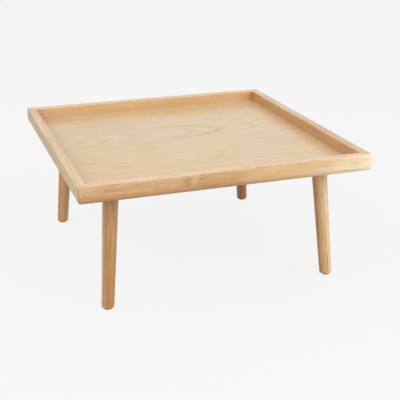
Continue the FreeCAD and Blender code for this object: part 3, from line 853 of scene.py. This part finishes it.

# Legs: paler and darker strips side by side, with the grain along each leg's own axis. The front
# legs take painted shade at their tops, under the rails, and the back right leg's dark tone is
# partly painted shade, as it stands under the tray. On the front right leg the darker left strips
# and paler right ones are partly painted shade and light; on the back left leg the left strips are
# darker with painted shade. Behind, three of them draw nearer to the fourth's tone.
STRIP_TURN = math.radians(CAMERA_YAW)
ACROSS_STRIPS = (math.cos(STRIP_TURN), -math.sin(STRIP_TURN), 0.0)
PITH_BELOW_LEG = 0.045
LEG_TOP_SHADE = ((0.0, 0.4), (0.012, 0.32), (0.026, 0.06), (0.045, -0.08), (0.1, -0.06),
                 (0.17, 0.0), (0.31, 0.0))
# Paler on the side away from the front: on the back right leg this keeps its painted shade to the
# side that faces the front.
LEG_PALER_BEHIND = ((0.025, -0.3), (0.04, -0.2), (0.05, -0.03), (0.056, 0.0), (0.065, 0.0))
LEG_DARKER_BEHIND = ((0.025, 0.2), (0.04, 0.13), (0.05, 0.02), (0.056, 0.0), (0.065, 0.0))
LEG_LOOKS = {
    "front_left": {
        "tone": 0.93, "dark": OAK_BROWN, "seed": 51.0, "streak_depth": 0.62,
        "along": LEG_TOP_SHADE,
        "across": ((-0.03, -0.42), (-0.015, -0.38), (-0.01, -0.02), (0.012, 0.02), (0.016, -0.05),
                   (0.03, -0.05)),
    },
    "front_right": {
        "tone": 0.6, "dark": OAK_GOLD, "seed": 62.0, "streak_depth": 0.75,
        "along": LEG_TOP_SHADE, "upward": LEG_DARKER_BEHIND,
        # Strips: the darker ones on the left and the paler ones on the right are partly painted
        # shade and light.
        "across": ((-0.03, 0.27), (-0.013, 0.27), (-0.009, 0.0), (0.0035, -0.03), (0.0045, 0.2),
                   (0.006, 0.2), (0.007, -0.22), (0.03, -0.22)),
    },
    "back_left": {
        "tone": 0.74, "dark": OAK_AMBER, "seed": 73.0, "streak_depth": 0.75,
        "upward": LEG_PALER_BEHIND,
        # Strips: the left ones are darker with painted shade, where the left lamp lights them.
        "across": ((-0.03, 0.36), (-0.01, 0.3), (-0.003, 0.02), (0.03, -0.06)),
    },
    "back_right": {
        # Dark tone and colour: partly painted shade, as this leg stands under the tray.
        "tone": 1.04, "dark": OAK_CHESTNUT_AND_PAINTED_SHADE, "seed": 84.0, "streak_depth": 0.75,
        "upward": LEG_PALER_BEHIND,
        "across": ((-0.03, -0.2), (-0.011, -0.17), (0.0, 0.02), (0.004, 0.02), (0.012, -0.06),
                   (0.03, -0.08)),
    },
}

for corner in CORNERS:
    plate_low, plate_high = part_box(corner + "_leg_plate")
    pad_low, pad_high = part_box(corner + "_foot_pad")
    top = (plate_low + plate_high) / 2
    foot = (pad_low + pad_high) / 2
    top.z, foot.z = plate_high.z, pad_high.z
    place = grain_place(foot - top, ACROSS_STRIPS, top, (0, 0, PITH_BELOW_LEG))
    leg_oak = make_oak(corner + "_leg_oak", place, ring_width=0.0035, wander=0.005,
                       coarseness=1.4, across_blend="LINEAR", **LEG_LOOKS[corner])
    dress(nodes[corner + "_leg"], leg_oak)

# Hidden parts and fittings.
board = make_speckled("fibre_board", pale=BOARD_PALE, dark=BOARD_DARK, per_metre=900.0,
                      contrast=1.2, roughness=0.8)
felt = make_speckled("felt", pale=FELT_PALE, dark=FELT_DARK, per_metre=1500.0, contrast=1.6,
                     roughness=0.95, bump=0.0003, sheen=0.3)
zinc = make_speckled("zinc_plate", pale=ZINC_PALE, dark=ZINC_DARK, per_metre=260.0, contrast=0.9,
                     roughness=0.38, metallic=1.0)
plywood = make_plywood("birch_plywood")
dress(nodes["panel_core"], board)
for corner in CORNERS:
    dress(nodes[corner + "_foot_pad"], felt)
    dress(nodes[corner + "_leg_plate"], zinc)
    dress(nodes[corner + "_spline"], plywood)
for fitting in ("weld_nuts", "hanger_bolts", "plate_screws"):
    dress(nodes[fitting], zinc)

# Floor, world and lamps. Each lamp has a place, the side of its square and its power in watts.
FLOOR_SIZE = 30.0
FLOOR_ALBEDO = 0.6
FLOOR_SHADE_SHARE = 0.12
FLOOR_GLOW = 0.959
FLOOR_MIRRORED_SHARE = 0.4
BACKGROUND = 0.894
WORLD_LIGHT = 0.7
LAMP_TARGET = Vector((0, 0, 0.2))
LAMPS = {
    "key": ((1.3, -2.7, 2.3), 3.2, 90),
    "left_fill": ((-3.4, 0.0, 3.4), 2.6, 78),
}


def clear_graph(owner):
    owner.use_nodes = True
    owner.node_tree.nodes.clear()
    return Graph(owner.node_tree)


def make_floor():
    """A pale floor that glows to the camera and keeps a share of the table's shadow."""
    bpy.ops.mesh.primitive_plane_add(size=FLOOR_SIZE, location=(0, 0, 0))
    floor = bpy.context.object
    floor.name = "floor"
    material = bpy.data.materials.new("pale_floor")
    g = clear_graph(material)
    path = g.node("LightPath").outputs
    mirrored = g.larger(path["Is Glossy Ray"], path["Is Transmission Ray"])
    seen = g.larger(path["Is Camera Ray"], g.times(mirrored, FLOOR_MIRRORED_SHARE))
    matte = g.node("BsdfDiffuse", {"Color": opaque((FLOOR_ALBEDO,) * 3)})
    glow = g.node("Emission", {"Color": opaque((FLOOR_GLOW,) * 3), "Strength": 1.0})
    shade = g.node("MixShader", {
        "Fac": g.times(seen, 1.0 - FLOOR_SHADE_SHARE), 1: matte.outputs[0], 2: glow.outputs[0],
    })
    g.node("OutputMaterial", {"Surface": shade.outputs[0]})
    dress(floor, material)


def make_world():
    """An even pale world: one strength as light, another where it is seen or mirrored."""
    world = bpy.data.worlds.new("studio")
    bpy.context.scene.world = world
    g = clear_graph(world)
    path = g.node("LightPath").outputs
    mirrored = g.larger(path["Is Glossy Ray"], path["Is Transmission Ray"])
    seen = g.larger(path["Is Camera Ray"], mirrored)
    strength = g.span(seen, 0.0, 1.0, WORLD_LIGHT, BACKGROUND)
    background = g.node("Background", {"Color": opaque((1.0,) * 3), "Strength": strength})
    g.node("OutputWorld", {"Surface": background.outputs[0]})


def add_lamp(name, place, size, power):
    """A soft square lamp, aimed at the table and not mirrored in its lacquer."""
    lamp = bpy.data.lights.new(name, "AREA")
    lamp.shape = "SQUARE"
    lamp.size = size
    lamp.energy = power
    holder = bpy.data.objects.new(name, lamp)
    holder.location = place
    aim = LAMP_TARGET - Vector(place)
    holder.rotation_euler = aim.to_track_quat("-Z", "Y").to_euler()
    holder.visible_glossy = False
    bpy.context.scene.collection.objects.link(holder)


def add_camera():
    data = bpy.data.cameras.new("photo_camera")
    data.lens = CAMERA_LENS
    data.sensor_width = SENSOR_WIDTH
    holder = bpy.data.objects.new("photo_camera", data)
    holder.location = CAMERA_PLACE
    pan = Matrix.Rotation(math.radians(-CAMERA_YAW), 3, "Z")
    tilt = Matrix.Rotation(math.radians(90 - CAMERA_PITCH), 3, "X")
    roll = Matrix.Rotation(math.radians(CAMERA_ROLL), 3, "Z")
    holder.rotation_euler = (pan @ tilt @ roll).to_euler()
    bpy.context.scene.collection.objects.link(holder)
    bpy.context.scene.camera = holder


make_floor()
make_world()
for lamp_name, (lamp_place, lamp_size, lamp_power) in LAMPS.items():
    add_lamp(lamp_name, lamp_place, lamp_size, lamp_power)
add_camera()
bpy.context.scene.view_settings.view_transform = "Standard"
